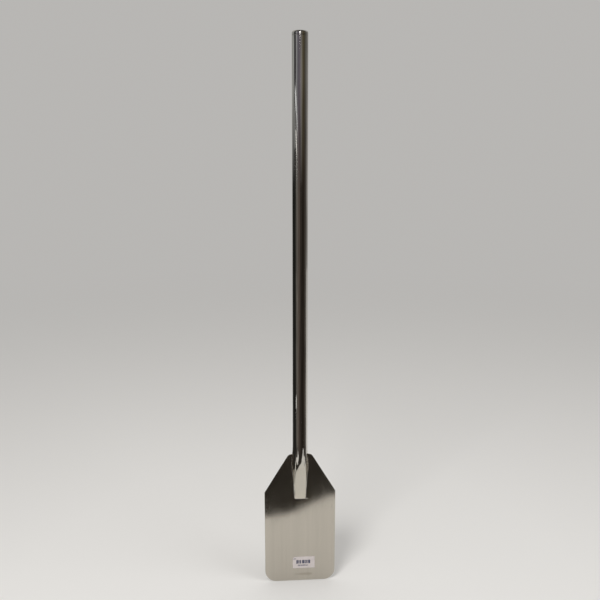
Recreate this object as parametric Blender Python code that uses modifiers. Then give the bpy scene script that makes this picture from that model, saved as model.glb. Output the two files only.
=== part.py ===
"""Stainless-steel mixing paddle: a sheet blade welded into the flattened end of a long tubular handle.

The paddle stands on its blade tip. The origin is the middle of the tip, +Z runs up the handle, and the
front of the blade, which carries the label, faces -Y. Everything is in metres.
"""

import math

import bmesh
import bpy

# Driving dimensions
OVERALL_LENGTH = 0.9144  # blade tip to the top of the cap, 36 in
TUBE_DIAMETER = 0.0250  # handle tube
TUBE_WALL = 0.0012
BLADE_WIDTH = 0.1215
BLADE_HEIGHT = 0.2375
BLADE_THICKNESS = 0.0020  # 14 gauge sheet

# Blade outline
SHOULDER_HEIGHT = 0.1685  # the sides end here and the shoulders slope in
TOP_EDGE_WIDTH = 0.0384  # between the shoulders' sharp corners at the top edge
TOP_CORNER_RADIUS = 0.010
SHOULDER_CORNER_RADIUS = 0.0015
TIP_CORNER_RADIUS = 0.020
EDGE_ROUNDING = 0.0003

# Joint between tube and blade
CLEARANCE = 0.0003  # between neighbouring pieces
SLOT_HALF_WIDTH = BLADE_THICKNESS / 2 + CLEARANCE
TONGUE_TOE = 0.1565  # lower end of the two tongues left by the slot
TONGUE_TOE_DEPTH = SLOT_HALF_WIDTH + TUBE_WALL
CAVITY_BOTTOM = 0.162  # below this the slot has taken the whole hollow
ROUND_FROM = 0.256  # the tube is round from here up

# Cap and its seam
CAP_HEIGHT = 0.0060
CAP_EDGE_RADIUS = 0.0030
CAP_WALL = 0.0012
CAP_RIM_STEPS = 8
SEAM_HEIGHT = 0.0009
SEAM_BOTTOM = OVERALL_LENGTH - CAP_HEIGHT - CLEARANCE - SEAM_HEIGHT
TUBE_TOP = SEAM_BOTTOM - CLEARANCE

# Fillet welds beside and below the tongues
BEAD_RADIUS = 0.0006
BEAD_TOP = 0.2330
BEAD_STEPS = 10
TOE_BEAD_ENDS = (-0.0090, 0.0140)  # it runs on past the toe's right-hand corner

# Label stuck on the front of the blade
LABEL_WIDTH = 0.0385
LABEL_HEIGHT = 0.0220
LABEL_THICKNESS = 0.00015
LABEL_GAP = 0.00005
LABEL_CENTRE_X = 0.0066
LABEL_CENTRE_Z = 0.0344

OVERRUN = 0.010  # how far cutters reach past what they cut

# Mesh fineness
QUARTER_STEPS = 12  # points per quarter of a handle section
RING_SPACING = 0.005  # between sections of the flattened end
ARC_STEP = math.radians(9)
TURNED_STEPS = 48
SHARP_DEGREES = 35  # edges that turn more than this are shaded sharp

# Half sections of the flattened end: height, half width where it meets the blade, half width of the front
# face, depth of the face in front of the axis, fall of the face from its middle to its edges.
TONGUE_STATIONS = (
    (TONGUE_TOE, 0.00925, 0.00895, TONGUE_TOE_DEPTH, 0.00000),
    (0.172, 0.01030, 0.00985, 0.00372, 0.00004),
    (0.188, 0.01135, 0.01045, 0.00548, 0.00006),
    (0.200, 0.01210, 0.01020, 0.00705, 0.00009),
    (0.213, 0.01370, 0.00980, 0.00905, 0.00016),
    (0.227, 0.01415, 0.00960, 0.01137, 0.00190),
    (0.240, 0.01365, 0.00960, 0.01230, 0.00340),
    (ROUND_FROM, 0.01285, 0.00975, 0.01250, 0.00450),
)
ROUNDING_STARTS = 0.229  # above this the section turns gradually into a circle
SHARP_UP_TO = 0.190  # below this the pressed corners are at their sharpest
CORNER_SHARES = (0.14, 0.35)  # of flank and face, below SHARP_UP_TO and above ROUNDING_STARTS


# Geometry helpers


def smooth(share):
    """0 to 1 with no slope at either end."""
    share = min(1.0, max(0.0, share))
    return share * share * (3 - 2 * share)


def station_slopes(heights, values):
    """Slopes of a curve through the stations that never overshoots them."""
    rises = [
        (values[i + 1] - values[i]) / (heights[i + 1] - heights[i])
        for i in range(len(values) - 1)
    ]
    slopes = [rises[0]]
    for before, after in zip(rises, rises[1:]):
        slopes.append(2 * before * after / (before + after) if before * after > 0 else 0.0)
    slopes.append(rises[-1])
    return slopes


def station_value(column, height):
    """One dimension of the flattened end at a height, read from a smooth curve through the stations."""
    heights = [station[0] for station in TONGUE_STATIONS]
    values = [station[column] for station in TONGUE_STATIONS]
    slopes = station_slopes(heights, values)
    height = min(heights[-1], max(heights[0], height))
    i = max(k for k in range(len(heights) - 1) if heights[k] <= height)
    run = heights[i + 1] - heights[i]
    t = (height - heights[i]) / run
    return (
        (1 + 2 * t) * (1 - t) ** 2 * values[i]
        + t * (1 - t) ** 2 * run * slopes[i]
        + t * t * (3 - 2 * t) * values[i + 1]
        + t * t * (t - 1) * run * slopes[i + 1]
    )


def half_foot(height):
    """Half width of the flattened end where it meets the blade."""
    return station_value(1, height)


def corner_share(height):
    """Share of the flank and of the face that their round corner takes: it is sharper towards the toe."""
    low, high = CORNER_SHARES
    return low + (high - low) * smooth((height - SHARP_UP_TO) / (ROUNDING_STARTS - SHARP_UP_TO))


def pressed_quarter(height, wall):
    """Quarter of the pressed section from its side to its front: a flank, a round corner, a crowned face."""
    foot, face, depth = (station_value(column, height) - wall for column in (1, 2, 3))
    fall = station_value(4, height)
    side, corner, middle = (foot, 0.0), (face, -(depth - fall)), (0.0, -depth)
    third = QUARTER_STEPS // 3
    share = corner_share(height)

    def between(a, b, t):
        return (a[0] + (b[0] - a[0]) * t, a[1] + (b[1] - a[1]) * t)

    flank_end = between(side, corner, 1 - share)
    face_start = between(corner, middle, share)
    points = [between(side, flank_end, k / third) for k in range(third)]
    for k in range(third):
        t = k / third
        points.append(between(between(flank_end, corner, t), between(corner, face_start, t), t))
    crown_foot = face_start[1]
    for k in range(third + 1):
        t = k / third
        x = face_start[0] * (1 - t)
        points.append((x, crown_foot + (middle[1] - crown_foot) * (1 - (1 - t) ** 2)))
    return points


def quarter_section(height, wall=0.0):
    """Quarter of the tube's section, this far inside its outer face, round above ROUND_FROM."""
    radius = TUBE_DIAMETER / 2 - wall
    angles = [math.pi / 2 * k / QUARTER_STEPS for k in range(QUARTER_STEPS + 1)]
    circle = [(radius * math.cos(a), -radius * math.sin(a)) for a in angles]
    pressed = 1 - smooth((height - ROUNDING_STARTS) / (ROUND_FROM - ROUNDING_STARTS))
    if pressed == 0:
        return circle
    return [
        (c[0] + (p[0] - c[0]) * pressed, c[1] + (p[1] - c[1]) * pressed)
        for c, p in zip(circle, pressed_quarter(height, wall))
    ]


def whole_section(quarter):
    """All four quarters of a section, once round from the right-hand side by way of the front."""
    front = quarter + [(-x, y) for x, y in reversed(quarter[:-1])]
    return front + [(x, -y) for x, y in reversed(front[1:-1])]


def ring_heights(bottom, top):
    """Close rings up the flattened end, then one long straight to the top."""
    count = math.ceil((ROUND_FROM - bottom) / RING_SPACING)
    return [bottom + (ROUND_FROM - bottom) * k / count for k in range(count + 1)] + [top]


def corner_arc(before, corner, after, radius):
    """Points of a round corner between two straight sides."""
    ins = (corner[0] - before[0], corner[1] - before[1])
    outs = (after[0] - corner[0], after[1] - corner[1])
    a_in, a_out = math.atan2(ins[1], ins[0]), math.atan2(outs[1], outs[0])
    turn = (a_out - a_in + math.pi) % (2 * math.pi) - math.pi
    reach = radius * math.tan(abs(turn) / 2)
    start = (corner[0] - math.cos(a_in) * reach, corner[1] - math.sin(a_in) * reach)
    side = math.copysign(math.pi / 2, turn)
    centre = (start[0] + math.cos(a_in + side) * radius, start[1] + math.sin(a_in + side) * radius)
    count = max(2, round(abs(turn) / ARC_STEP))
    return [
        (
            centre[0] + math.cos(a_in - side + turn * k / count) * radius,
            centre[1] + math.sin(a_in - side + turn * k / count) * radius,
        )
        for k in range(count + 1)
    ]


def rounded_outline(corners):
    """Outline through corners given as (x, z, radius), each rounded by its own radius."""
    points = []
    for k, (x, z, radius) in enumerate(corners):
        before, after = corners[k - 1], corners[(k + 1) % len(corners)]
        points += corner_arc(before, (x, z), after, radius)
    return points


# Scene helpers


def clear_scene():
    for obj in list(bpy.data.objects):
        bpy.data.objects.remove(obj)


def collection(name, hidden=False):
    made = bpy.data.collections.new(name)
    bpy.context.scene.collection.children.link(made)
    made.hide_render = hidden
    return made


def material(name, colour, roughness, metallic):
    made = bpy.data.materials.new(name)
    made.use_nodes = True
    shader = made.node_tree.nodes["Principled BSDF"]
    shader.inputs["Base Color"].default_value = (*colour, 1)
    shader.inputs["Roughness"].default_value = roughness
    shader.inputs["Metallic"].default_value = metallic
    made.diffuse_color = (*colour, 1)
    return made


def add_object(name, data, group, finish=None):
    obj = bpy.data.objects.new(name, data)
    group.objects.link(obj)
    if finish:
        data.materials.append(finish)
    return obj


def add_box(name, size, centre, group, finish=None):
    bpy.ops.mesh.primitive_cube_add(size=1)
    box = bpy.context.object
    for owner in list(box.users_collection):
        owner.objects.unlink(box)
    group.objects.link(box)
    box.name = box.data.name = name
    box.scale = size
    box.location = centre
    if finish:
        box.data.materials.append(finish)
    return box


def as_cutter(obj):
    obj.hide_render = True
    obj.display_type = "WIRE"
    return obj


def cut(obj, cutter, name):
    boolean = obj.modifiers.new(name, "BOOLEAN")
    boolean.operation = "DIFFERENCE"
    boolean.object = cutter


def shade_round(mesh):
    mesh.shade_smooth()
    mesh.set_sharp_from_angle(angle=math.radians(SHARP_DEGREES))


def loft(name, sections):
    """Closed mesh through sections of the same number of points, given as (height, points), lowest first."""
    shape = bmesh.new()
    rings = [[shape.verts.new((x, y, z)) for x, y in points] for z, points in sections]
    for low, high in zip(rings, rings[1:]):
        for k in range(len(low)):
            after = (k + 1) % len(low)
            shape.faces.new((low[k], low[after], high[after], high[k]))
    shape.faces.new(rings[0])
    shape.faces.new(rings[-1])
    bmesh.ops.recalc_face_normals(shape, faces=shape.faces)
    mesh = bpy.data.meshes.new(name)
    shape.to_mesh(mesh)
    shape.free()
    return mesh


def turned(name, profile, group, finish):
    """A closed profile of (radius, height) points turned once round the handle's axis."""
    mesh = bpy.data.meshes.new(name)
    mesh.from_pydata(
        [(radius, 0, z) for radius, z in profile],
        [(k, (k + 1) % len(profile)) for k in range(len(profile))],
        [],
    )
    obj = add_object(name, mesh, group, finish)
    screw = obj.modifiers.new("turn", "SCREW")
    screw.steps = screw.render_steps = TURNED_STEPS
    screw.use_merge_vertices = True
    screw.merge_threshold = 1e-5
    screw.use_smooth_shade = True


# The pieces


def make_blade(group, finish):
    """Flat sheet: straight sides, round tip corners, shoulders that slope in to the handle."""
    half, top = BLADE_WIDTH / 2, TOP_EDGE_WIDTH / 2
    corners = [
        (half, 0.0, TIP_CORNER_RADIUS),
        (half, SHOULDER_HEIGHT, SHOULDER_CORNER_RADIUS),
        (top, BLADE_HEIGHT, TOP_CORNER_RADIUS),
        (-top, BLADE_HEIGHT, TOP_CORNER_RADIUS),
        (-half, SHOULDER_HEIGHT, SHOULDER_CORNER_RADIUS),
        (-half, 0.0, TIP_CORNER_RADIUS),
    ]
    outline = rounded_outline(corners)
    sheet = bpy.data.curves.new("blade", "CURVE")
    sheet.dimensions = "2D"
    sheet.fill_mode = "BOTH"
    sheet.extrude = BLADE_THICKNESS / 2
    spline = sheet.splines.new("POLY")
    spline.points.add(len(outline) - 1)
    for point, (x, z) in zip(spline.points, outline):
        point.co = (x, z, 0, 1)
    spline.use_cyclic_u = True
    blade = add_object("blade", sheet, group, finish)
    blade.rotation_euler.x = math.pi / 2
    weld = blade.modifiers.new("close_faces", "WELD")
    weld.merge_threshold = 1e-5
    bevel = blade.modifiers.new("eased_edges", "BEVEL")
    bevel.width = EDGE_ROUNDING
    bevel.segments = 1
    bevel.limit_method = "ANGLE"
    bevel.angle_limit = math.radians(60)


def make_handle(group, cutters, finish):
    """Tube whose lower end is slotted for the blade and pressed into a front and a back tongue."""
    outside = [(z, whole_section(quarter_section(z))) for z in ring_heights(TONGUE_TOE, TUBE_TOP)]
    handle = add_object("handle_tube", loft("handle_tube", outside), group, finish)

    past_end = TUBE_TOP + OVERRUN
    inside = [
        (z, whole_section(quarter_section(z, TUBE_WALL)))
        for z in ring_heights(CAVITY_BOTTOM, past_end)
    ]
    hollow = as_cutter(add_object("hollow_cutter", loft("hollow_cutter", inside), cutters))
    cut(handle, hollow, "hollow")

    slot_top = BLADE_HEIGHT + CLEARANCE
    slot_bottom = TONGUE_TOE - OVERRUN
    size = (2 * TUBE_DIAMETER, 2 * SLOT_HALF_WIDTH, slot_top - slot_bottom)
    centre = (0, 0, (slot_top + slot_bottom) / 2)
    cut(handle, as_cutter(add_box("slot_cutter", size, centre, cutters)), "slot")
    shade_round(handle.data)


def make_cap(group, finish):
    """Pressed cup that closes the top of the tube, with a rounded rim."""
    radius, rim = TUBE_DIAMETER / 2, OVERALL_LENGTH - CAP_HEIGHT
    flat = radius - CAP_EDGE_RADIUS
    shoulder = OVERALL_LENGTH - CAP_EDGE_RADIUS
    angles = [math.pi / 2 * (1 - k / CAP_RIM_STEPS) for k in range(CAP_RIM_STEPS + 1)]
    outer = [
        (flat + CAP_EDGE_RADIUS * math.cos(a), shoulder + CAP_EDGE_RADIUS * math.sin(a))
        for a in angles
    ]
    inner_radius = CAP_EDGE_RADIUS - CAP_WALL
    inner = [
        (flat + inner_radius * math.cos(a), shoulder + inner_radius * math.sin(a))
        for a in reversed(angles)
    ]
    profile = [(0, OVERALL_LENGTH)] + outer + [(radius, rim), (radius - CAP_WALL, rim)]
    profile += inner + [(0, OVERALL_LENGTH - CAP_WALL)]
    turned("end_cap", profile, group, finish)


def make_cap_seam(group, finish):
    """Ring of weld metal between tube and cap, ground flush."""
    outer, inner = TUBE_DIAMETER / 2, TUBE_DIAMETER / 2 - TUBE_WALL
    top = SEAM_BOTTOM + SEAM_HEIGHT
    profile = [(outer, top), (outer, SEAM_BOTTOM), (inner, SEAM_BOTTOM), (inner, top)]
    turned("cap_weld", profile, group, finish)


def make_bead(name, points, group, finish):
    """Weld bead: a round run of metal along the points."""
    run = bpy.data.curves.new(name, "CURVE")
    run.dimensions = "3D"
    run.bevel_depth = BEAD_RADIUS
    run.bevel_resolution = 2
    run.use_fill_caps = True
    spline = run.splines.new("POLY")
    spline.points.add(len(points) - 1)
    for point, place in zip(spline.points, points):
        point.co = (*place, 1)
    add_object(name, run, group, finish)


def make_welds(group, finish):
    """On each face of the blade: a bead up both sides of the tongue and one below its toe."""
    off_blade = BLADE_THICKNESS / 2 + CLEARANCE + BEAD_RADIUS
    off_tongue = CLEARANCE + BEAD_RADIUS
    heights = [TONGUE_TOE + (BEAD_TOP - TONGUE_TOE) * k / BEAD_STEPS for k in range(BEAD_STEPS + 1)]
    for face, y in (("front", -off_blade), ("back", off_blade)):
        for side, sign in (("left", -1), ("right", 1)):
            path = [(sign * (half_foot(z) + off_tongue), y, z) for z in heights]
            make_bead(f"weld_{face}_{side}", path, group, finish)
        toe_z = TONGUE_TOE - off_tongue
        toe = [(x, y, toe_z) for x in TOE_BEAD_ENDS]
        make_bead(f"weld_{face}_toe", toe, group, finish)


def make_label(group, finish):
    """Small adhesive label, low on the front of the blade."""
    front = -(BLADE_THICKNESS / 2 + LABEL_GAP + LABEL_THICKNESS / 2)
    size = (LABEL_WIDTH, LABEL_THICKNESS, LABEL_HEIGHT)
    add_box("price_label", size, (LABEL_CENTRE_X, front, LABEL_CENTRE_Z), group, finish)


def main():
    clear_scene()
    paddle = collection("mixing_paddle")
    cutters = collection("cutters", hidden=True)
    mirror_steel = material("mirror_steel", (0.62, 0.61, 0.59), 0.06, 1.0)
    satin_steel = material("satin_steel", (0.60, 0.58, 0.55), 0.22, 1.0)
    weld_steel = material("weld_steel", (0.55, 0.53, 0.50), 0.30, 1.0)
    label_paper = material("label_paper", (0.86, 0.85, 0.84), 0.60, 0.0)

    make_blade(paddle, satin_steel)
    make_handle(paddle, cutters, mirror_steel)
    make_cap(paddle, mirror_steel)
    make_cap_seam(paddle, mirror_steel)
    make_welds(paddle, weld_steel)
    make_label(paddle, label_paper)


main()
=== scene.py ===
"""Looks of the steel mixing paddle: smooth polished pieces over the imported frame, in a pale studio."""

import math

import bmesh
import bpy
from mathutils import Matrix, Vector


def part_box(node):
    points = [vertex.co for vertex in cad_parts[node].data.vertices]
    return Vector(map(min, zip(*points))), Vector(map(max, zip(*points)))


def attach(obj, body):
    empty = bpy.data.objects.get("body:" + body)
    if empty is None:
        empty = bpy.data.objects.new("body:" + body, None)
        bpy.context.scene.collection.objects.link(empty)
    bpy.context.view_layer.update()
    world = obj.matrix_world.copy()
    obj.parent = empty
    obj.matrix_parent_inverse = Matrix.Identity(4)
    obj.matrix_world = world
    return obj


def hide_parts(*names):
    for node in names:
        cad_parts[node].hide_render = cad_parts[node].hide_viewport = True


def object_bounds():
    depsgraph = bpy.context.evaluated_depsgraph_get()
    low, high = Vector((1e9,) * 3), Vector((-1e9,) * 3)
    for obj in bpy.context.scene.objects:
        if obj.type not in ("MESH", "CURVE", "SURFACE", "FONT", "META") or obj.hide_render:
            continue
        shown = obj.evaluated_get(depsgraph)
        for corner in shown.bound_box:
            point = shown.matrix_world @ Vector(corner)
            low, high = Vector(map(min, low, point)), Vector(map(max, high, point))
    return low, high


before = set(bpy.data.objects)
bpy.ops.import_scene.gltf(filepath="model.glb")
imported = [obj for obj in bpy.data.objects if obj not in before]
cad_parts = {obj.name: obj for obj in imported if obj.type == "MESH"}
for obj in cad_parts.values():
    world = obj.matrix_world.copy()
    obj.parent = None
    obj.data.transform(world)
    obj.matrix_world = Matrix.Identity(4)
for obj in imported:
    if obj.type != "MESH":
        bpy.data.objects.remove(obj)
cad_low, cad_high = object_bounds()
EYE_DISTANCE, EYE_HEIGHT = 1.084, 0.727  # camera, from the handle's axis and from the floor
ROOM_RADIUS, ROOM_HEIGHT = 3.5, 2.4  # the reflected room
GLINT_DISTANCE = 3.3
BENCH_CARD_HEIGHT = 0.004

# Sizes of the CAD part in metres, read from the frame or repeated
BLADE_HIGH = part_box("blade")[1]
TUBE_LOW, TUBE_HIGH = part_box("handle_tube")
CAP_LOW, CAP_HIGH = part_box("end_cap")
SEAM_LOW, SEAM_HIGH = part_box("cap_weld")
LABEL_LOW, LABEL_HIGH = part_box("price_label")
TUBE_RADIUS = CAP_HIGH[0]
BLADE_HALF_THICKNESS = BLADE_HIGH[1]
SHOULDER_HEIGHT = 0.1685
TOP_EDGE_HALF = 0.0192
TOP_CORNER_RADIUS = 0.010
SHOULDER_CORNER_RADIUS = 0.0015
TIP_CORNER_RADIUS = 0.020
ROUND_FROM = 0.256  # the tube is round from here up
ROUNDING_STARTS = 0.229
SHARP_UP_TO = 0.190  # below this the pressed corners are at their sharpest
CORNER_SHARES = (0.14, 0.35)  # of flank and face, below SHARP_UP_TO and above ROUNDING_STARTS
SLOT_HALF = BLADE_HALF_THICKNESS + 0.00004  # nearly closed on the blade, as on the welded tool
SLOT_TOP = BLADE_HIGH[2] + 0.0003
TOE = TUBE_LOW[2]
CAP_RIM_RADIUS = 0.0030

# Half sections of the flattened end: height, half width at the blade, half width of the front face, depth
# of the face in front of the axis, fall of the face from its middle to its edges
TONGUE_STATIONS = (
    (TOE, 0.00925, 0.00895, 0.00250, 0.00000),
    (0.172, 0.01030, 0.00985, 0.00372, 0.00004),
    (0.188, 0.01135, 0.01045, 0.00548, 0.00006),
    (0.200, 0.01210, 0.01020, 0.00705, 0.00009),
    (0.213, 0.01370, 0.00980, 0.00905, 0.00016),
    (0.227, 0.01415, 0.00960, 0.01137, 0.00190),
    (0.240, 0.01365, 0.00960, 0.01230, 0.00340),
    (ROUND_FROM, 0.01285, 0.00975, 0.01250, 0.00450),
)

# Fineness and small liberties of the visual meshes
FLANK_STEPS = 8  # points on each of flank, corner and face in a quarter section
ARC_STEP = math.radians(3)
TURNED_STEPS = 96
SIDE_STRIP = 0.0003  # half width of the flat strip that joins the tube's front and back halves
BLADE_BEVEL, TUBE_BEVEL = 0.00035, 0.00022
CAP_CROWN = 0.0003  # rise of the cap's top from its rim to its middle
SEAM_OVERLAP, SEAM_DIP = 0.0002, 0.00006
BEAD_OFF = 0.0001  # bead centres stand this far off the blade and off the tongue
SIDE_BEAD_RADIUS, TOE_BEAD_RADIUS = 0.00062, 0.00075
BLOB_FROM, BLOB_RAMP, BLOB_EXTRA = 0.0085, 0.0015, 0.9  # thick end of the toe bead, on the right


# Shader helpers


def node(tree, kind, **inputs):
    """A shader node with its inputs set to values or linked to sockets.

    An input is given by its name, with an underscore for a space, or by its index as i0, i1 and so on.
    """
    made = tree.nodes.new("ShaderNode" + kind)
    for key, value in inputs.items():
        by_index = key[0] == "i" and key[1:].isdigit()
        socket = made.inputs[int(key[1:]) if by_index else key.replace("_", " ")]
        if isinstance(value, bpy.types.NodeSocket):
            tree.links.new(value, socket)
        else:
            socket.default_value = value
    return made


def math_node(tree, operation, a, b=0.0, clamp=False):
    made = node(tree, "Math", i0=a, i1=b)
    made.operation = operation
    made.use_clamp = clamp
    return made.outputs[0]


def ramp(tree, value, stops):
    """Colour ramp through (position, colour) stops."""
    made = node(tree, "ValToRGB", Fac=value)
    elements = made.color_ramp.elements
    while len(elements) > 1:
        elements.remove(elements[-1])
    for k, (position, colour) in enumerate(stops):
        element = elements[0] if k == 0 else elements.new(position)
        element.position = position
        element.color = (*colour, 1)
    return made.outputs["Color"]


def remap(tree, value, low, high, to_low, to_high):
    made = node(tree, "MapRange", Value=value, From_Min=low, From_Max=high, To_Min=to_low, To_Max=to_high)
    return made.outputs["Result"]


def stretched(tree, place, scale):
    return node(tree, "Mapping", Vector=place, Scale=scale).outputs["Vector"]


def noise(tree, place, scale=1.0, detail=2.0, roughness=0.5, distortion=0.0):
    made = node(tree, "TexNoise", Vector=place, Scale=scale, Detail=detail, Roughness=roughness)
    made.inputs["Distortion"].default_value = distortion
    return made.outputs["Fac"]


def mix_colour(tree, share, a, b, blend="MIX"):
    made = tree.nodes.new("ShaderNodeMix")
    made.data_type = "RGBA"
    made.blend_type = blend
    for index, value in ((0, share), (6, a), (7, b)):  # inputs 6 and 7 are the ones for colours
        socket = made.inputs[index]
        if isinstance(value, bpy.types.NodeSocket):
            tree.links.new(value, socket)
        else:
            socket.default_value = (*value, 1) if isinstance(value, tuple) else value
    return made.outputs[2]


def bump(tree, height, distance, below=None):
    made = node(tree, "Bump", Height=height, Distance=distance, Strength=1.0)
    if below:
        tree.links.new(below, made.inputs["Normal"])
    return made.outputs["Normal"]


def start_material(name, metallic=1.0):
    made = bpy.data.materials.new(name)
    made.use_nodes = True
    tree = made.node_tree
    shader = tree.nodes["Principled BSDF"]
    shader.inputs["Metallic"].default_value = metallic
    place = tree.nodes.new("ShaderNodeTexCoord").outputs["Object"]
    return made, tree, shader, place


def scratches(tree, place, scale, angle, keep):
    """Sparse thin lines, mostly along one direction: 1 on a scratch, 0 elsewhere."""
    turned = node(tree, "Mapping", Vector=place, Rotation=(0, angle, 0), Scale=(scale, scale, scale * 0.035))
    lines = noise(tree, turned.outputs["Vector"], 1.0, 1.0, 0.4, 0.6)
    thin = math_node(tree, "ABSOLUTE", math_node(tree, "SUBTRACT", lines, 0.5))
    line = remap(tree, thin, 0.0, 0.004, 1.0, 0.0)
    patches = noise(tree, place, scale * 0.12, 1.0)
    return math_node(tree, "MULTIPLY", line, remap(tree, patches, keep, keep + 0.06, 0.0, 1.0))


# Materials


def mirror_steel():
    """Polished tube: lengthwise buffing lines, slow waves in the surface, handling smudges."""
    made, tree, shader, place = start_material("mirror_steel")
    lines = noise(tree, stretched(tree, place, (700, 700, 5)), 1.0, 3.0, 0.6)
    smudge = noise(tree, stretched(tree, place, (60, 60, 22)), 1.0, 4.0, 0.6, 0.8)
    scuffs = scratches(tree, place, 160, 0.25, 0.58)
    base = remap(tree, lines, 0.3, 0.7, 0.035, 0.075)
    rough = math_node(tree, "ADD", base, remap(tree, smudge, 0.5, 0.72, 0.0, 0.07))
    rough = math_node(tree, "ADD", rough, math_node(tree, "MULTIPLY", scuffs, 0.03))
    tree.links.new(rough, shader.inputs["Roughness"])
    tint = ramp(tree, lines, [(0.3, (0.60, 0.582, 0.550)), (0.7, (0.66, 0.640, 0.605))])
    tint = mix_colour(tree, math_node(tree, "MULTIPLY", scuffs, 0.2), tint, (0.48, 0.46, 0.44))
    # The pressed end is a little duller and warmer, with a straw tint towards the toe weld
    rise = node(tree, "SeparateXYZ", Vector=place).outputs["Z"]
    near_toe = remap(tree, rise, TOE, TOE + 0.02, 1.0, 0.0)
    straw = mix_colour(tree, near_toe, (0.925, 0.905, 0.845), (0.985, 0.955, 0.87))
    pressed = remap(tree, rise, 0.215, 0.240, 1.0, 0.0)
    tint = mix_colour(tree, pressed, tint, mix_colour(tree, 1.0, tint, straw, "MULTIPLY"))
    tree.links.new(tint, shader.inputs["Base Color"])
    waves = noise(tree, stretched(tree, place, (55, 55, 14)), 1.0, 1.0, 0.4)
    normal = bump(tree, waves, 0.00022)
    normal = bump(tree, lines, 0.0000002, normal)
    tree.links.new(normal, shader.inputs["Normal"])
    return made


def satin_steel():
    """Sheet blade: soft lengthwise grain, faint roller waves, light scratches and heat tint at the toe."""
    made, tree, shader, place = start_material("satin_steel")
    grain = noise(tree, stretched(tree, place, (1500, 1500, 14)), 1.0, 4.0, 0.65)
    bands = noise(tree, stretched(tree, place, (170, 170, 3)), 1.0, 3.0, 0.6)
    smudge = noise(tree, stretched(tree, place, (34, 34, 26)), 1.0, 5.0, 0.62, 0.6)
    fine = scratches(tree, place, 210, 0.16, 0.50)
    cross = scratches(tree, place, 150, 1.2, 0.60)
    marks = math_node(tree, "ADD", fine, cross, True)
    base = remap(tree, grain, 0.25, 0.75, 0.095, 0.13)
    rough = math_node(tree, "ADD", base, remap(tree, smudge, 0.45, 0.75, 0.0, 0.04))
    rough = math_node(tree, "ADD", rough, math_node(tree, "MULTIPLY", marks, 0.12))
    tree.links.new(rough, shader.inputs["Roughness"])
    tint = ramp(tree, bands, [(0.3, (0.530, 0.494, 0.434)), (0.7, (0.568, 0.530, 0.466))])
    tint = mix_colour(tree, math_node(tree, "MULTIPLY", marks, 0.35), tint, (0.42, 0.40, 0.37))
    # A rubbed, duller patch low on the front
    low_patch = node(tree, "VectorMath", i0=place, i1=(0.008, -BLADE_HALF_THICKNESS, 0.012))
    low_patch.operation = "SUBTRACT"
    low_patch = node(tree, "VectorMath", i0=low_patch.outputs[0], i1=(60.0, 900.0, 340.0))
    low_patch.operation = "MULTIPLY"
    away = node(tree, "VectorMath", i0=low_patch.outputs[0])
    away.operation = "LENGTH"
    rub = math_node(tree, "ADD", away.outputs["Value"], remap(tree, smudge, 0.3, 0.7, -0.4, 0.4))
    rub = remap(tree, rub, 0.5, 1.1, 0.45, 0.0)
    tint = mix_colour(tree, rub, tint, (0.36, 0.32, 0.26))
    # Straw and blue heat tint in a narrow zone round the tongue's toe
    apart = node(tree, "VectorMath", i0=place, i1=(0.0, 0.0, TOE + 0.002))
    apart.operation = "SUBTRACT"
    flattened = node(tree, "VectorMath", i0=apart.outputs[0], i1=(1.0, 0.0, 1.5))
    flattened.operation = "MULTIPLY"
    reach = node(tree, "VectorMath", i0=flattened.outputs[0])
    reach.operation = "LENGTH"
    ragged = math_node(tree, "ADD", reach.outputs["Value"], remap(tree, smudge, 0.3, 0.7, -0.003, 0.003))
    heat = ramp(
        tree,
        ragged,
        [
            (0.006, (0.50, 0.50, 0.56)),
            (0.011, (0.58, 0.50, 0.44)),
            (0.017, (0.66, 0.60, 0.50)),
            (0.024, (1, 1, 1)),
        ],
    )
    tint = mix_colour(tree, 0.45, tint, mix_colour(tree, 1.0, tint, heat, "MULTIPLY"))
    tree.links.new(tint, shader.inputs["Base Color"])
    waves = noise(tree, stretched(tree, place, (16, 16, 9)), 1.0, 1.0, 0.4)
    normal = bump(tree, waves, 0.00012)
    normal = bump(tree, grain, 0.000004, normal)
    normal = bump(tree, marks, -0.000006, normal)
    tree.links.new(normal, shader.inputs["Normal"])
    return made


def weld_steel():
    """Brushed weld metal with a faint straw and blue oxide."""
    made, tree, shader, place = start_material("weld_steel")
    grit = noise(tree, place, 1400, 4.0, 0.6)
    oxide = noise(tree, place, 160, 3.0, 0.6, 0.5)
    oxides = [(0.35, (0.50, 0.50, 0.53)), (0.5, (0.62, 0.60, 0.57)), (0.68, (0.60, 0.53, 0.44))]
    tint = ramp(tree, oxide, oxides)
    tree.links.new(tint, shader.inputs["Base Color"])
    tree.links.new(remap(tree, grit, 0.3, 0.7, 0.16, 0.36), shader.inputs["Roughness"])
    tree.links.new(bump(tree, grit, 0.00003), shader.inputs["Normal"])
    return made


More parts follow.
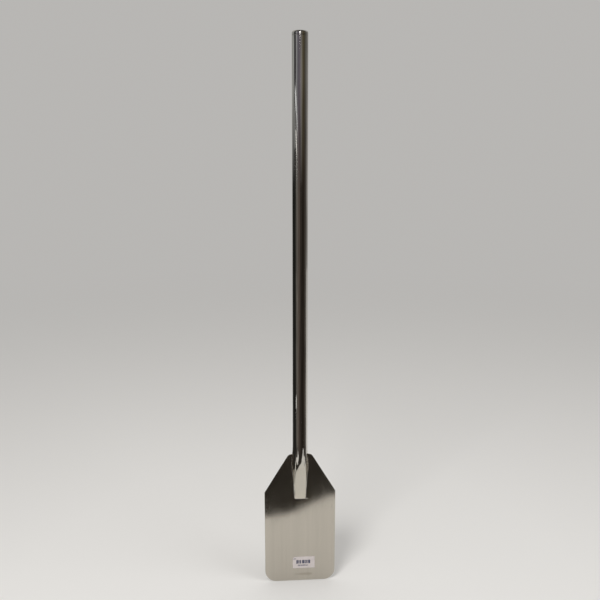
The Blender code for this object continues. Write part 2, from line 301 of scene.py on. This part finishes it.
def label_paper():
    """Matt label paper with a printed block of plain bars, a short row of marks and uneven soiling over the
    sheet.
    """
    made, tree, shader, place = start_material("label_paper", 0.0)
    parts = node(tree, "SeparateXYZ", Vector=place)
    x = remap(tree, parts.outputs["X"], LABEL_LOW[0], LABEL_HIGH[0], 0.0, 1.0)
    z = remap(tree, parts.outputs["Z"], LABEL_LOW[2], LABEL_HIGH[2], 0.0, 1.0)

    def between(value, low, high):
        soft = 0.004
        up = remap(tree, value, low - soft, low + soft, 0.0, 1.0)
        down = remap(tree, value, high - soft, high + soft, 1.0, 0.0)
        return math_node(tree, "MULTIPLY", up, down)

    def region(x_low, x_high, z_low, z_high):
        return math_node(tree, "MULTIPLY", between(x, x_low, x_high), between(z, z_low, z_high))

    fibre = noise(tree, place, 2600, 4.0, 0.6)
    bar_width = 0.0115
    stepped = node(tree, "CombineXYZ", X=math_node(tree, "SNAP", x, bar_width))
    bars = node(tree, "TexWhiteNoise", Vector=stepped.outputs[0])
    bar_ink = remap(tree, bars.outputs["Value"], 0.66, 0.68, 1.0, 0.12)
    block = math_node(tree, "MULTIPLY", region(0.14, 0.79, 0.40, 0.71), bar_ink)
    dashes = noise(tree, stretched(tree, place, (1900, 1, 700)), 1.0, 2.0, 0.7)
    dash_ink = remap(tree, dashes, 0.47, 0.5, 0.0, 1.0)
    rows = math_node(tree, "ADD", region(0.23, 0.69, 0.19, 0.31), region(0.02, 0.13, 0.78, 0.88))
    ink = math_node(tree, "ADD", block, math_node(tree, "MULTIPLY", rows, dash_ink), True)
    worn = remap(tree, noise(tree, place, 900, 2.0), 0.25, 0.42, 0.55, 1.0)
    ink = math_node(tree, "MULTIPLY", ink, worn)
    soil = noise(tree, place, 120, 4.0, 0.65)
    papers = [(0.3, (0.56, 0.51, 0.505)), (0.6, (0.62, 0.57, 0.565)), (0.8, (0.51, 0.465, 0.46))]
    sheet = ramp(tree, soil, papers)
    tree.links.new(mix_colour(tree, ink, sheet, (0.055, 0.06, 0.11)), shader.inputs["Base Color"])
    tree.links.new(remap(tree, fibre, 0.3, 0.7, 0.48, 0.66), shader.inputs["Roughness"])
    tree.links.new(bump(tree, fibre, 0.00002), shader.inputs["Normal"])
    return made


# Mesh helpers


def smooth(share):
    """0 to 1 with no slope at either end."""
    share = min(1.0, max(0.0, share))
    return share * share * (3 - 2 * share)


def station_value(column, height):
    """One dimension of the flattened end, read from a smooth curve through the stations."""
    heights = [station[0] for station in TONGUE_STATIONS]
    values = [station[column] for station in TONGUE_STATIONS]
    rises = [(b - a) / (v - u) for a, b, u, v in zip(values, values[1:], heights, heights[1:])]
    slopes = [rises[0]]
    for before, after in zip(rises, rises[1:]):
        slopes.append(2 * before * after / (before + after) if before * after > 0 else 0.0)
    slopes.append(rises[-1])
    height = min(heights[-1], max(heights[0], height))
    i = max(k for k in range(len(heights) - 1) if heights[k] <= height)
    run = heights[i + 1] - heights[i]
    t = (height - heights[i]) / run
    return (
        (1 + 2 * t) * (1 - t) ** 2 * values[i]
        + t * (1 - t) ** 2 * run * slopes[i]
        + t * t * (3 - 2 * t) * values[i + 1]
        + t * t * (t - 1) * run * slopes[i + 1]
    )


def blend_points(a, b, t):
    return (a[0] + (b[0] - a[0]) * t, a[1] + (b[1] - a[1]) * t)


def quarter_section(height, cut):
    """Quarter of the tube's outline from where it stands this far off the middle plane to the front."""
    steps = 3 * FLANK_STEPS
    start = math.asin(cut / TUBE_RADIUS)
    angles = [start + (math.pi / 2 - start) * k / steps for k in range(steps + 1)]
    circle = [(TUBE_RADIUS * math.cos(a), -TUBE_RADIUS * math.sin(a)) for a in angles]
    pressed = 1 - smooth((height - ROUNDING_STARTS) / (ROUND_FROM - ROUNDING_STARTS))
    if pressed == 0:
        return circle
    foot, face, depth, fall = (station_value(column, height) for column in (1, 2, 3, 4))
    corner, middle = (face, -(depth - fall)), (0.0, -depth)
    side = blend_points((foot, 0.0), corner, cut / (depth - fall))
    sharp, blunt = CORNER_SHARES
    share = sharp + (blunt - sharp) * smooth((height - SHARP_UP_TO) / (ROUNDING_STARTS - SHARP_UP_TO))
    flank_end = blend_points(side, corner, 1 - share)
    face_start = blend_points(corner, middle, share)
    shares = [k / FLANK_STEPS for k in range(FLANK_STEPS)]
    points = [blend_points(side, flank_end, t) for t in shares]
    for t in shares:
        before, after = blend_points(flank_end, corner, t), blend_points(corner, face_start, t)
        points.append(blend_points(before, after, t))
    rise = middle[1] - face_start[1]
    for t in shares + [1.0]:
        points.append((face_start[0] * (1 - t), face_start[1] + rise * (1 - (1 - t) ** 2)))
    return [blend_points(c, p, pressed) for c, p in zip(circle, points)]


def half_section(height, cut):
    """Front half of the outline, from the right-hand side round the front to the left."""
    quarter = quarter_section(height, cut)
    return quarter + [(-x, y) for x, y in reversed(quarter[:-1])]


def corner_arc(before, corner, after, radius):
    """Points of a round corner between two straight sides."""
    ins = (corner[0] - before[0], corner[1] - before[1])
    outs = (after[0] - corner[0], after[1] - corner[1])
    a_in, a_out = math.atan2(ins[1], ins[0]), math.atan2(outs[1], outs[0])
    turn = (a_out - a_in + math.pi) % (2 * math.pi) - math.pi
    reach = radius * math.tan(abs(turn) / 2)
    start = (corner[0] - math.cos(a_in) * reach, corner[1] - math.sin(a_in) * reach)
    side = math.copysign(math.pi / 2, turn)
    centre = (start[0] + math.cos(a_in + side) * radius, start[1] + math.sin(a_in + side) * radius)
    count = max(4, round(abs(turn) / ARC_STEP))
    return [
        (
            centre[0] + math.cos(a_in - side + turn * k / count) * radius,
            centre[1] + math.sin(a_in - side + turn * k / count) * radius,
        )
        for k in range(count + 1)
    ]


def add_piece(name, shape, finish, cad_node, sharp=40, bevel=0.0):
    """Turns a bmesh into a smooth-shaded piece that stands for this CAD node."""
    bmesh.ops.recalc_face_normals(shape, faces=shape.faces)
    mesh = bpy.data.meshes.new(name)
    shape.to_mesh(mesh)
    shape.free()
    mesh.shade_smooth()
    mesh.set_sharp_from_angle(angle=math.radians(sharp))
    mesh.materials.append(finish)
    piece = bpy.data.objects.new(name, mesh)
    bpy.context.scene.collection.objects.link(piece)
    if bevel:
        eased = piece.modifiers.new("eased_edges", "BEVEL")
        eased.width = bevel
        eased.segments = 3
        eased.limit_method = "ANGLE"
        eased.angle_limit = math.radians(sharp)
        eased.harden_normals = True
    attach(piece, "root")
    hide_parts(cad_node)
    return piece


# Pieces


def make_blade(finish):
    """Flat sheet: straight sides, round tip corners, shoulders that slope in to the handle."""
    half, height = BLADE_HIGH[0], BLADE_HIGH[2]
    corners = [
        (half, 0.0, TIP_CORNER_RADIUS),
        (half, SHOULDER_HEIGHT, SHOULDER_CORNER_RADIUS),
        (TOP_EDGE_HALF, height, TOP_CORNER_RADIUS),
        (-TOP_EDGE_HALF, height, TOP_CORNER_RADIUS),
        (-half, SHOULDER_HEIGHT, SHOULDER_CORNER_RADIUS),
        (-half, 0.0, TIP_CORNER_RADIUS),
    ]
    outline = []
    for k, (x, z, radius) in enumerate(corners):
        outline += corner_arc(corners[k - 1], (x, z), corners[(k + 1) % len(corners)], radius)
    shape = bmesh.new()
    front = [shape.verts.new((x, -BLADE_HALF_THICKNESS, z)) for x, z in outline]
    back = [shape.verts.new((x, BLADE_HALF_THICKNESS, z)) for x, z in outline]
    shape.faces.new(front)
    shape.faces.new(back)
    for k in range(len(outline)):
        after = (k + 1) % len(outline)
        shape.faces.new((front[k], front[after], back[after], back[k]))
    add_piece("sheet_blade", shape, finish, "blade", bevel=BLADE_BEVEL)


def make_handle(finish):
    """Tube with its slotted, flattened end: two tongues up to the slot's root, one round tube above."""

    def rungs(bottom, top, count):
        """Heights evenly from bottom to top, without the bottom one."""
        return [bottom + (top - bottom) * k / count for k in range(1, count + 1)]

    shape = bmesh.new()

    def ring(z, cut):
        front = [shape.verts.new((x, y, z)) for x, y in half_section(z, cut)]
        back = [shape.verts.new((x, -y, z)) for x, y in half_section(z, cut)]
        return front, back

    slotted = [ring(z, SLOT_HALF) for z in [TOE] + rungs(TOE, SLOT_TOP, 70)]
    above_slot = rungs(SLOT_TOP, ROUND_FROM, 16) + rungs(ROUND_FROM, TUBE_HIGH[2], 24)
    closed = [slotted[-1]] + [ring(z, SIDE_STRIP) for z in above_slot]
    for below, above in list(zip(slotted, slotted[1:])) + list(zip(closed, closed[1:])):
        for half in (0, 1):
            a, b = below[half], above[half]
            for k in range(len(a) - 1):
                shape.faces.new((a[k], a[k + 1], b[k + 1], b[k]))
    for below, above in zip(slotted, slotted[1:]):
        for half in (0, 1):
            a, b = below[half], above[half]
            shape.faces.new((a[0], b[0], b[-1], a[-1]))
    for below, above in zip(closed, closed[1:]):
        for end in (0, -1):
            shape.faces.new((below[0][end], above[0][end], above[1][end], below[1][end]))
    shape.faces.new(slotted[0][0])
    shape.faces.new(slotted[0][1])
    root = slotted[-1]
    shape.faces.new((root[0][0], root[0][-1], root[1][-1], root[1][0]))
    shape.faces.new(closed[-1][0] + list(reversed(closed[-1][1])))
    add_piece("tube_handle", shape, finish, "handle_tube", bevel=TUBE_BEVEL)


def turned(name, profile, finish, slot, cad_node):
    """Closed body from (radius, height) points, first and last on the axis, turned round it."""
    shape = bmesh.new()
    angles = [2 * math.pi * k / TURNED_STEPS for k in range(TURNED_STEPS)]
    rings = []
    for radius, z in profile:
        if radius == 0:
            rings.append([shape.verts.new((0, 0, z))])
            continue
        rings.append([shape.verts.new((radius * math.cos(a), radius * math.sin(a), z)) for a in angles])
    for a, b in zip(rings, rings[1:]):
        for k in range(TURNED_STEPS):
            after = (k + 1) % TURNED_STEPS
            corners = [a[k % len(a)], a[after % len(a)], b[after % len(b)], b[k % len(b)]]
            shape.faces.new(list(dict.fromkeys(corners)))
    add_piece(name, shape, finish, cad_node)


def make_cap(finish):
    """Pressed cap: short straight skirt, round rim and a faintly domed top."""
    top, low = CAP_HIGH[2], CAP_LOW[2]
    rim, rim_top = CAP_RIM_RADIUS, top - CAP_CROWN
    rim_steps, crown_steps = 16, 8
    profile = [(0, low), (TUBE_RADIUS - 0.0003, low), (TUBE_RADIUS, low + 0.0002)]
    for k in range(rim_steps + 1):
        a = math.pi / 2 * k / rim_steps
        profile.append((TUBE_RADIUS - rim + rim * math.cos(a), rim_top - rim + rim * math.sin(a)))
    for k in range(1, crown_steps):
        left = 1 - k / crown_steps
        profile.append(((TUBE_RADIUS - rim) * left, rim_top + CAP_CROWN * (1 - left**2)))
    profile.append((0, top))
    turned("closed_end", profile, finish, "mirror_steel", "end_cap")


def make_seam(finish):
    """Flush ring of weld metal between tube and cap, dipping a hair at both of its edges."""
    low, high = SEAM_LOW[2] - SEAM_OVERLAP, SEAM_HIGH[2] + SEAM_OVERLAP
    steps = 8
    profile = [(0, low)]
    for k in range(steps + 1):
        share = k / steps
        profile.append((TUBE_RADIUS - SEAM_DIP * (2 * share - 1) ** 2, low + (high - low) * share))
    profile.append((0, high))
    turned("end_seam", profile, finish, "mirror_steel", "cap_weld")


def make_bead(name, path, radii, finish, cad_node):
    """Rippled weld bead along the path: a round run with overlapping coin-edge steps."""
    shape = bmesh.new()
    sides = 14
    rings = []
    for k, (place, radius) in enumerate(zip(path, radii)):
        before, after = Vector(path[max(k - 1, 0)]), Vector(path[min(k + 1, len(path) - 1)])
        along = (after - before).normalized()
        across = along.cross(Vector((0, 1, 0))).normalized()
        out = across.cross(along).normalized()
        ring = []
        for s in range(sides):
            a = 2 * math.pi * s / sides
            ring.append(shape.verts.new(Vector(place) + (across * math.cos(a) + out * math.sin(a)) * radius))
        rings.append(ring)
    for a, b in zip(rings, rings[1:]):
        for k in range(sides):
            shape.faces.new((a[k], a[(k + 1) % sides], b[(k + 1) % sides], b[k]))
    shape.faces.new(rings[0])
    shape.faces.new(rings[-1])
    add_piece(name, shape, finish, cad_node, sharp=60)


def bead_radii(count, base, seed):
    """Radii along a bead: fine ripples, a slow uneven swell, and rounded ends."""
    radii = []
    for k in range(count):
        ripple = 0.06 * abs(math.sin(k * math.pi / 5 + seed))
        swell = 0.10 * math.sin(k * 0.11 + seed * 2.1) + 0.05 * math.sin(k * 0.31 + seed)
        share = min(1.0, k / 5, (count - 1 - k) / 5)
        end = math.sqrt(max(0.04, 1 - (1 - share) ** 2))
        radii.append(base * (0.80 + ripple + swell) * end)
    return radii


def make_beads(finish):
    """On each face of the blade: a bead up both sides of the tongue and one below its toe."""
    off_blade = BLADE_HALF_THICKNESS + BEAD_OFF
    for face, sign_y in (("front", -1), ("back", 1)):
        for side, sign_x in (("left", -1), ("right", 1)):
            cad_node = f"weld_{face}_{side}"
            low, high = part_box(cad_node)
            count = 150
            heights = [low[2] + (high[2] - low[2]) * k / (count - 1) for k in range(count)]
            path = [(sign_x * (station_value(1, z) + BEAD_OFF), sign_y * off_blade, z) for z in heights]
            radii = bead_radii(count, SIDE_BEAD_RADIUS, 1.3 * sign_x + 0.7 * sign_y)
            make_bead(f"bead_{face}_{side}", path, radii, finish, cad_node)
        cad_node = f"weld_{face}_toe"
        low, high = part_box(cad_node)
        count = 40
        across = [low[0] + (high[0] - low[0]) * k / (count - 1) for k in range(count)]
        path = [(x, sign_y * off_blade, TOE - 0.0005) for x in across]
        radii = bead_radii(count, TOE_BEAD_RADIUS, 0.4 * sign_y)
        radii = [r * (1 + BLOB_EXTRA * smooth((x - BLOB_FROM) / BLOB_RAMP)) for r, x in zip(radii, across)]
        make_bead(f"bead_{face}_toe", path, radii, finish, cad_node)


def make_label(finish):
    """Paper label with a small torn corner at its upper left and a slightly lifted upper right."""
    low, high = LABEL_LOW, LABEL_HIGH
    columns, rows = 60, 36
    shape = bmesh.new()
    grid = {}
    for i in range(columns + 1):
        for k in range(rows + 1):
            u, v = i / columns, k / rows
            x, z = low[0] + (high[0] - low[0]) * u, low[2] + (high[2] - low[2]) * v
            lift = 0.000045 * math.sin(u * 9 + v * 4) ** 2 + 0.00072 * max(0, u - 0.9) * max(0, v - 0.5)
            y = -BLADE_HALF_THICKNESS - 0.00006 - lift
            grid[i, k] = shape.verts.new((x, y, z))
    for i in range(columns):
        for k in range(rows):
            u, v = (i + 0.5) / columns, (k + 0.5) / rows
            jag = 0.012 * math.sin(37 * u + 11 * v)
            if u + (1 - v) * 0.75 < 0.075 + jag:
                continue
            shape.faces.new((grid[i, k], grid[i + 1, k], grid[i + 1, k + 1], grid[i, k + 1]))
    bmesh.ops.delete(shape, geom=[v for v in shape.verts if not v.link_faces], context="VERTS")
    piece = add_piece("paper_label", shape, finish, "price_label", sharp=80)
    thick = piece.modifiers.new("thickness", "SOLIDIFY")
    thick.thickness = 0.00005
    thick.offset = 0


# Studio


def emission(name, colour, strength=1.0):
    made = bpy.data.materials.new(name)
    made.use_nodes = True
    tree = made.node_tree
    tree.nodes.clear()
    glow = node(tree, "Emission", Color=(*colour, 1), Strength=strength)
    out = tree.nodes.new("ShaderNodeOutputMaterial")
    tree.links.new(glow.outputs[0], out.inputs["Surface"])
    return made, tree, glow


def card(name, points, faces, finish):
    """A reflected card: only mirrors see it, so it shapes reflections and nothing else."""
    mesh = bpy.data.meshes.new(name)
    mesh.from_pydata(points, [], faces)
    mesh.materials.append(finish)
    made = bpy.data.objects.new(name, mesh)
    bpy.context.scene.collection.objects.link(made)
    made.visible_camera = False
    made.visible_diffuse = False
    made.visible_transmission = False
    made.visible_volume_scatter = False
    made.visible_shadow = False


def bearing(degrees, distance, z):
    """A point this far from the handle's axis; the bearing turns from the blade's front to its right."""
    a = math.radians(degrees)
    return (math.sin(a) * distance, -math.cos(a) * distance, z)


def room_material():
    """Dark workshop round a pale bench: bands by bearing, one set above eye height and one below, with
    painted shade towards the right back where the paddle's shadow falls on the wall.
    """
    made, tree, glow = emission("room", (0.05, 0.05, 0.05))
    place = tree.nodes.new("ShaderNodeTexCoord").outputs["Object"]
    parts = node(tree, "SeparateXYZ", Vector=place)
    minus_y = math_node(tree, "MULTIPLY", parts.outputs["Y"], -1.0)
    angle = math_node(tree, "ARCTAN2", parts.outputs["X"], minus_y)
    turn = remap(tree, angle, -math.pi, math.pi, 0.0, 1.0)

    def at(degrees):
        return 0.5 + degrees / 360

    upper = ramp(
        tree,
        turn,
        [
            (at(-150), (0.40, 0.40, 0.39)),
            (at(-100), (0.36, 0.37, 0.36)),
            (at(-90), (0.06, 0.06, 0.06)),
            (at(-66), (0.06, 0.06, 0.065)),
            (at(-58), (0.36, 0.36, 0.37)),
            (at(-46), (0.34, 0.34, 0.36)),
            (at(-38), (0.16, 0.15, 0.18)),
            (at(0), (0.17, 0.15, 0.17)),
            (at(10), (0.27, 0.26, 0.25)),
            (at(24), (0.22, 0.20, 0.17)),
            (at(34), (0.10, 0.085, 0.05)),
            (at(60), (0.075, 0.064, 0.045)),
            # From here to the right back: painted shade, the paddle's shadow on the wall beside the handle
            (at(81), (0.095, 0.093, 0.085)),
            (at(102), (0.20, 0.195, 0.185)),
            (at(126), (0.30, 0.29, 0.28)),
        ],
    )
    lower = ramp(
        tree,
        turn,
        [
            (at(-150), (0.30, 0.30, 0.30)),
            (at(-134), (0.018, 0.018, 0.016)),
            (at(-74), (0.016, 0.016, 0.014)),
            (at(-62), (0.12, 0.112, 0.10)),
            (at(-48), (0.165, 0.15, 0.135)),
            (at(-32), (0.125, 0.103, 0.088)),
            (at(-14), (0.10, 0.078, 0.066)),
            (at(0), (0.050, 0.040, 0.034)),
            (at(14), (0.030, 0.025, 0.021)),
            (at(46), (0.020, 0.015, 0.011)),
            (at(62), (0.042, 0.035, 0.029)),
            # From here to the right back: painted shade here too, the paddle's shadow on the wall beside the
            # handle
            (at(81), (0.080, 0.073, 0.065)),
            (at(102), (0.20, 0.19, 0.18)),
            (at(126), (0.34, 0.33, 0.32)),
        ],
    )
    reach = node(tree, "VectorMath", i0=place)
    reach.operation = "LENGTH"
    near = remap(tree, reach.outputs["Value"], 0.42, 0.62, 1.0, 0.0)
    lower = mix_colour(tree, near, lower, (0.030, 0.027, 0.023))
    height = remap(tree, parts.outputs["Z"], 0.55, 1.2, 0.0, 1.0)
    colour = mix_colour(tree, height, lower, upper)
    clutter = noise(tree, stretched(tree, place, (1.6, 1.6, 2.6)), 1.0, 3.0, 0.6)
    shade = remap(tree, clutter, 0.3, 0.7, 0.55, 1.45)
    tree.links.new(mix_colour(tree, 1.0, colour, shade, "MULTIPLY"), glow.inputs["Color"])
    return made


def make_room():
    """Dark ring and dark floor beyond the bench's edge, seen only in the steel."""
    finish = room_material()
    steps, left, right = 96, -150, 150
    bearings = [left + (right - left) * k / steps for k in range(steps + 1)]
    points = [bearing(b, ROOM_RADIUS, z) for z in (0.0, ROOM_HEIGHT) for b in bearings]
    faces = [(k, k + 1, steps + k + 2, steps + k + 1) for k in range(steps)]
    card("room_walls", points, faces, finish)
    # Bench outline, from its right end round the uneven front edge to its left end
    edge = [(0.28, 0.10), (0.30, -0.15), (0.43, -0.15), (0.42, -0.27), (0.41, -0.36), (0.30, -0.36)]
    edge += [(0.16, -0.318), (0.088, -0.298), (0.067, -0.284), (0.045, -0.268), (0.024, -0.249)]
    edge += [(0.006, -0.235), (-0.013, -0.225), (-0.056, -0.214), (-0.09, -0.262), (-0.12, -0.31)]
    edge += [(-0.20, -0.335), (-0.235, -0.40), (-0.31, -0.39), (-0.355, -0.345), (-0.355, -0.285)]
    edge += [(-0.27, -0.265), (-0.27, 0.05), (-0.17, 0.10), (-0.17, 0.6)]
    past_wall = 1.04 * ROOM_RADIUS  # far enough for the straight chords to clear the round wall
    outer = [bearing(b, past_wall, 0)[:2] for b in [-150] + list(range(-120, 120, 20))]
    points = [(x, y, BENCH_CARD_HEIGHT) for x, y in edge + outer]
    card("room_floor", points, [tuple(range(len(points)))], finish)


def make_ceiling():
    """Dim ceiling in front of and over the paddle, which the cap's rounded rim reflects."""
    dim, _, _ = emission("ceiling", (0.075, 0.072, 0.066))
    far, back = ROOM_RADIUS, 0.25
    corners = [(-far, -far), (far, -far), (far, back), (-far, back)]
    card("ceiling", [(x, y, ROOM_HEIGHT) for x, y in corners], [(0, 1, 2, 3)], dim)


def make_glints():
    """Lamps and windows far across the room, which draw the narrow bright lines down the tube."""
    white, _, _ = emission("lamp_glow", (1.0, 0.99, 0.96), 1.6)
    soft, _, _ = emission("window_glow", (0.95, 0.97, 1.0))
    dull, _, _ = emission("shelf_glow", (0.24, 0.24, 0.24))
    flash, _, _ = emission("flash_glow", (1.0, 1.0, 1.0), 6.0)

    def patch(name, corners, finish):
        """A glowing patch given by its bearing and by the height on the handle where the camera finds it."""
        away = GLINT_DISTANCE / EYE_DISTANCE
        points = [bearing(b, GLINT_DISTANCE, h + away * (h - EYE_HEIGHT)) for b, h in corners]
        card(name, points, [tuple(range(len(points)))], finish)

    patch("window_high", [(-84, 0.834), (-72, 0.834), (-52, 0.806), (-70, 0.800)], soft)
    patch("window_middle", [(-58, 0.804), (-49, 0.806), (-40, 0.768), (-45, 0.768)], soft)
    patch("window_low", [(-70, 0.768), (-62, 0.768), (-46, 0.728), (-50, 0.728)], white)
    patch("window_tail", [(-50, 0.726), (-44, 0.726), (-44, 0.67), (-47, 0.67)], dull)
    patch("shelf", [(-94, 0.806), (-72, 0.806), (-68, 0.742), (-92, 0.742)], dull)
    patch("lamp_over_end", [(-12, 1.10), (1, 1.10), (-2.5, 0.921), (-5, 0.908), (-7.5, 0.921)], flash)
    floor_patch = [bearing(b, d, 0.012) for b, d in ((-66, 0.83), (-60, 0.83), (-60, 0.94), (-66, 0.94))]
    card("floor_lamp", floor_patch, [(0, 1, 2, 3)], white)


def make_floor(pale):
    """Plain pale floor that fades into the background far away."""
    made, tree, shader, place = start_material("studio_floor", 0.0)
    shader.inputs["Base Color"].default_value = (0.86, 0.855, 0.845, 1)
    shader.inputs["Roughness"].default_value = 0.9
    shader.inputs["Specular IOR Level"].default_value = 0.2
    glow = node(tree, "Emission", Color=(*pale, 1), Strength=1.0)
    reach = node(tree, "VectorMath", i0=place)
    reach.operation = "LENGTH"
    share = remap(tree, reach.outputs["Value"], 0.5, 3.2, 0.0, 1.0)
    fading = node(tree, "MixShader", i0=share, i1=shader.outputs[0], i2=glow.outputs[0])
    tree.links.new(fading.outputs[0], tree.nodes["Material Output"].inputs["Surface"])
    mesh = bpy.data.meshes.new("studio_floor")
    far = 60
    mesh.from_pydata([(-far, -far, 0), (far, -far, 0), (far, far, 0), (-far, far, 0)], [], [(0, 1, 2, 3)])
    mesh.materials.append(made)
    floor = bpy.data.objects.new("studio_floor", mesh)
    floor.location.z = cad_low[2] - 0.0002
    bpy.context.scene.collection.objects.link(floor)


def area_light(name, place, target, size, power, colour=(1, 1, 1)):
    lamp = bpy.data.lights.new(name, "AREA")
    lamp.shape = "DISK"
    lamp.size = size
    lamp.energy = power
    lamp.color = colour
    obj = bpy.data.objects.new(name, lamp)
    obj.location = place
    obj.rotation_euler = (Vector(target) - Vector(place)).to_track_quat("-Z", "Y").to_euler()
    obj.visible_glossy = False
    bpy.context.scene.collection.objects.link(obj)


def make_studio():
    pale = (0.48, 0.47, 0.455)
    world = bpy.data.worlds.new("studio")
    bpy.context.scene.world = world
    world.use_nodes = True
    world.node_tree.nodes["Background"].inputs["Color"].default_value = (*pale, 1)
    world.node_tree.nodes["Background"].inputs["Strength"].default_value = 1.0
    make_floor(pale)
    make_room()
    make_ceiling()
    make_glints()
    area_light("key", (-0.9, -1.7, 2.3), (0, 0, 0.3), 1.0, 37, (1, 0.985, 0.96))
    area_light("fill", (1.6, -0.9, 1.9), (0, 0, 0.4), 1.4, 10)
    scene = bpy.context.scene
    scene.view_settings.view_transform = "Standard"
    scene.view_settings.look = "None"


def make_camera():
    """Seen from the front, a little to the left and from handle height, looking slightly down."""
    lens = bpy.data.cameras.new("camera")
    lens.lens = 41.12
    lens.sensor_width = 36.0
    lens.clip_start = 0.01
    lens.clip_end = 200
    camera = bpy.data.objects.new("camera", lens)
    turn, pitch = math.radians(-4.2), math.radians(11.65)
    camera.location = (math.sin(turn) * EYE_DISTANCE, -math.cos(turn) * EYE_DISTANCE, EYE_HEIGHT)
    camera.rotation_euler = (math.pi / 2 - pitch, 0, turn)
    bpy.context.scene.collection.objects.link(camera)
    bpy.context.scene.camera = camera


polished = mirror_steel()
make_blade(satin_steel())
make_handle(polished)
make_cap(polished)
make_seam(polished)
make_beads(weld_steel())
make_label(label_paper())
make_studio()
make_camera()
